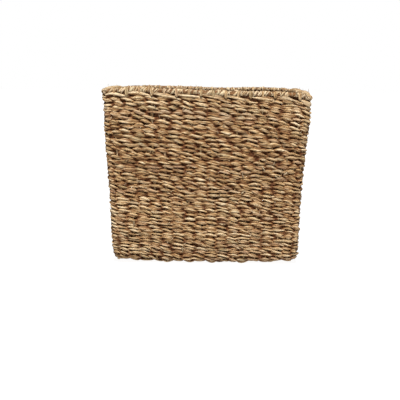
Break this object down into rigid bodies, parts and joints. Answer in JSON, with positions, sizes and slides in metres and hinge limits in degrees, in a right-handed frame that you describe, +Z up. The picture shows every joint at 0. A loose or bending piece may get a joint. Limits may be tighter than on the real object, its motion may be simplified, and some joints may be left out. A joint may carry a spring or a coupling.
{
  "type": "storage basket",
  "caption": "Square open-topped storage basket with outward-leaning walls, twined from seagrass strands over seagrass stakes, with a lashed rim over a hidden wire.",
  "frame": {"origin": "centre of the flat underside of the base, on the surface the basket stands on", "axes": "+Z up, out of the open top; -Y towards the front wall; +X towards the right wall"},
  "size_m": [0.2998, 0.2998, 0.255],
  "materials": {
    "seagrass_weave": "dry twisted seagrass, straw to olive brown, matt with a faint sheen on the strands",
    "rim_seagrass": "dry seagrass, a little paler than the walls, matt",
    "seagrass_stake": "tightly twisted seagrass cord, matt",
    "rim_wire_steel": "drawn steel wire"
  },
  "bodies": {
    "root": {"base_weave": "seagrass_weave", "front_weave": "seagrass_weave", "right_weave": "seagrass_weave", "back_weave": "seagrass_weave", "left_weave": "seagrass_weave", "front_rim_lashing": "rim_seagrass", "right_rim_lashing": "rim_seagrass", "back_rim_lashing": "rim_seagrass", "left_rim_lashing": "rim_seagrass", "rim_wire": "rim_wire_steel", "stake_front_back_01": "seagrass_stake", "stake_front_back_02": "seagrass_stake", "stake_front_back_03": "seagrass_stake", "stake_front_back_04": "seagrass_stake", "stake_front_back_05": "seagrass_stake", "stake_front_back_06": "seagrass_stake", "stake_front_back_07": "seagrass_stake", "stake_front_back_08": "seagrass_stake", "stake_front_back_09": "seagrass_stake", "stake_front_back_10": "seagrass_stake", "stake_front_back_11": "seagrass_stake", "stake_front_back_12": "seagrass_stake", "stake_front_back_13": "seagrass_stake", "stake_front_back_14": "seagrass_stake", "stake_front_back_15": "seagrass_stake", "stake_front_back_16": "seagrass_stake", "stake_left_right_01": "seagrass_stake", "stake_left_right_02": "seagrass_stake", "stake_left_right_03": "seagrass_stake", "stake_left_right_04": "seagrass_stake", "stake_left_right_05": "seagrass_stake", "stake_left_right_06": "seagrass_stake", "stake_left_right_07": "seagrass_stake", "stake_left_right_08": "seagrass_stake", "stake_left_right_09": "seagrass_stake", "stake_left_right_10": "seagrass_stake", "stake_left_right_11": "seagrass_stake", "stake_left_right_12": "seagrass_stake", "stake_left_right_13": "seagrass_stake", "stake_left_right_14": "seagrass_stake", "stake_left_right_15": "seagrass_stake", "stake_left_right_16": "seagrass_stake", "corner_stake_front_left": "seagrass_stake", "corner_stake_front_right": "seagrass_stake", "corner_stake_back_right": "seagrass_stake", "corner_stake_back_left": "seagrass_stake"}
  },
  "joints": []
}
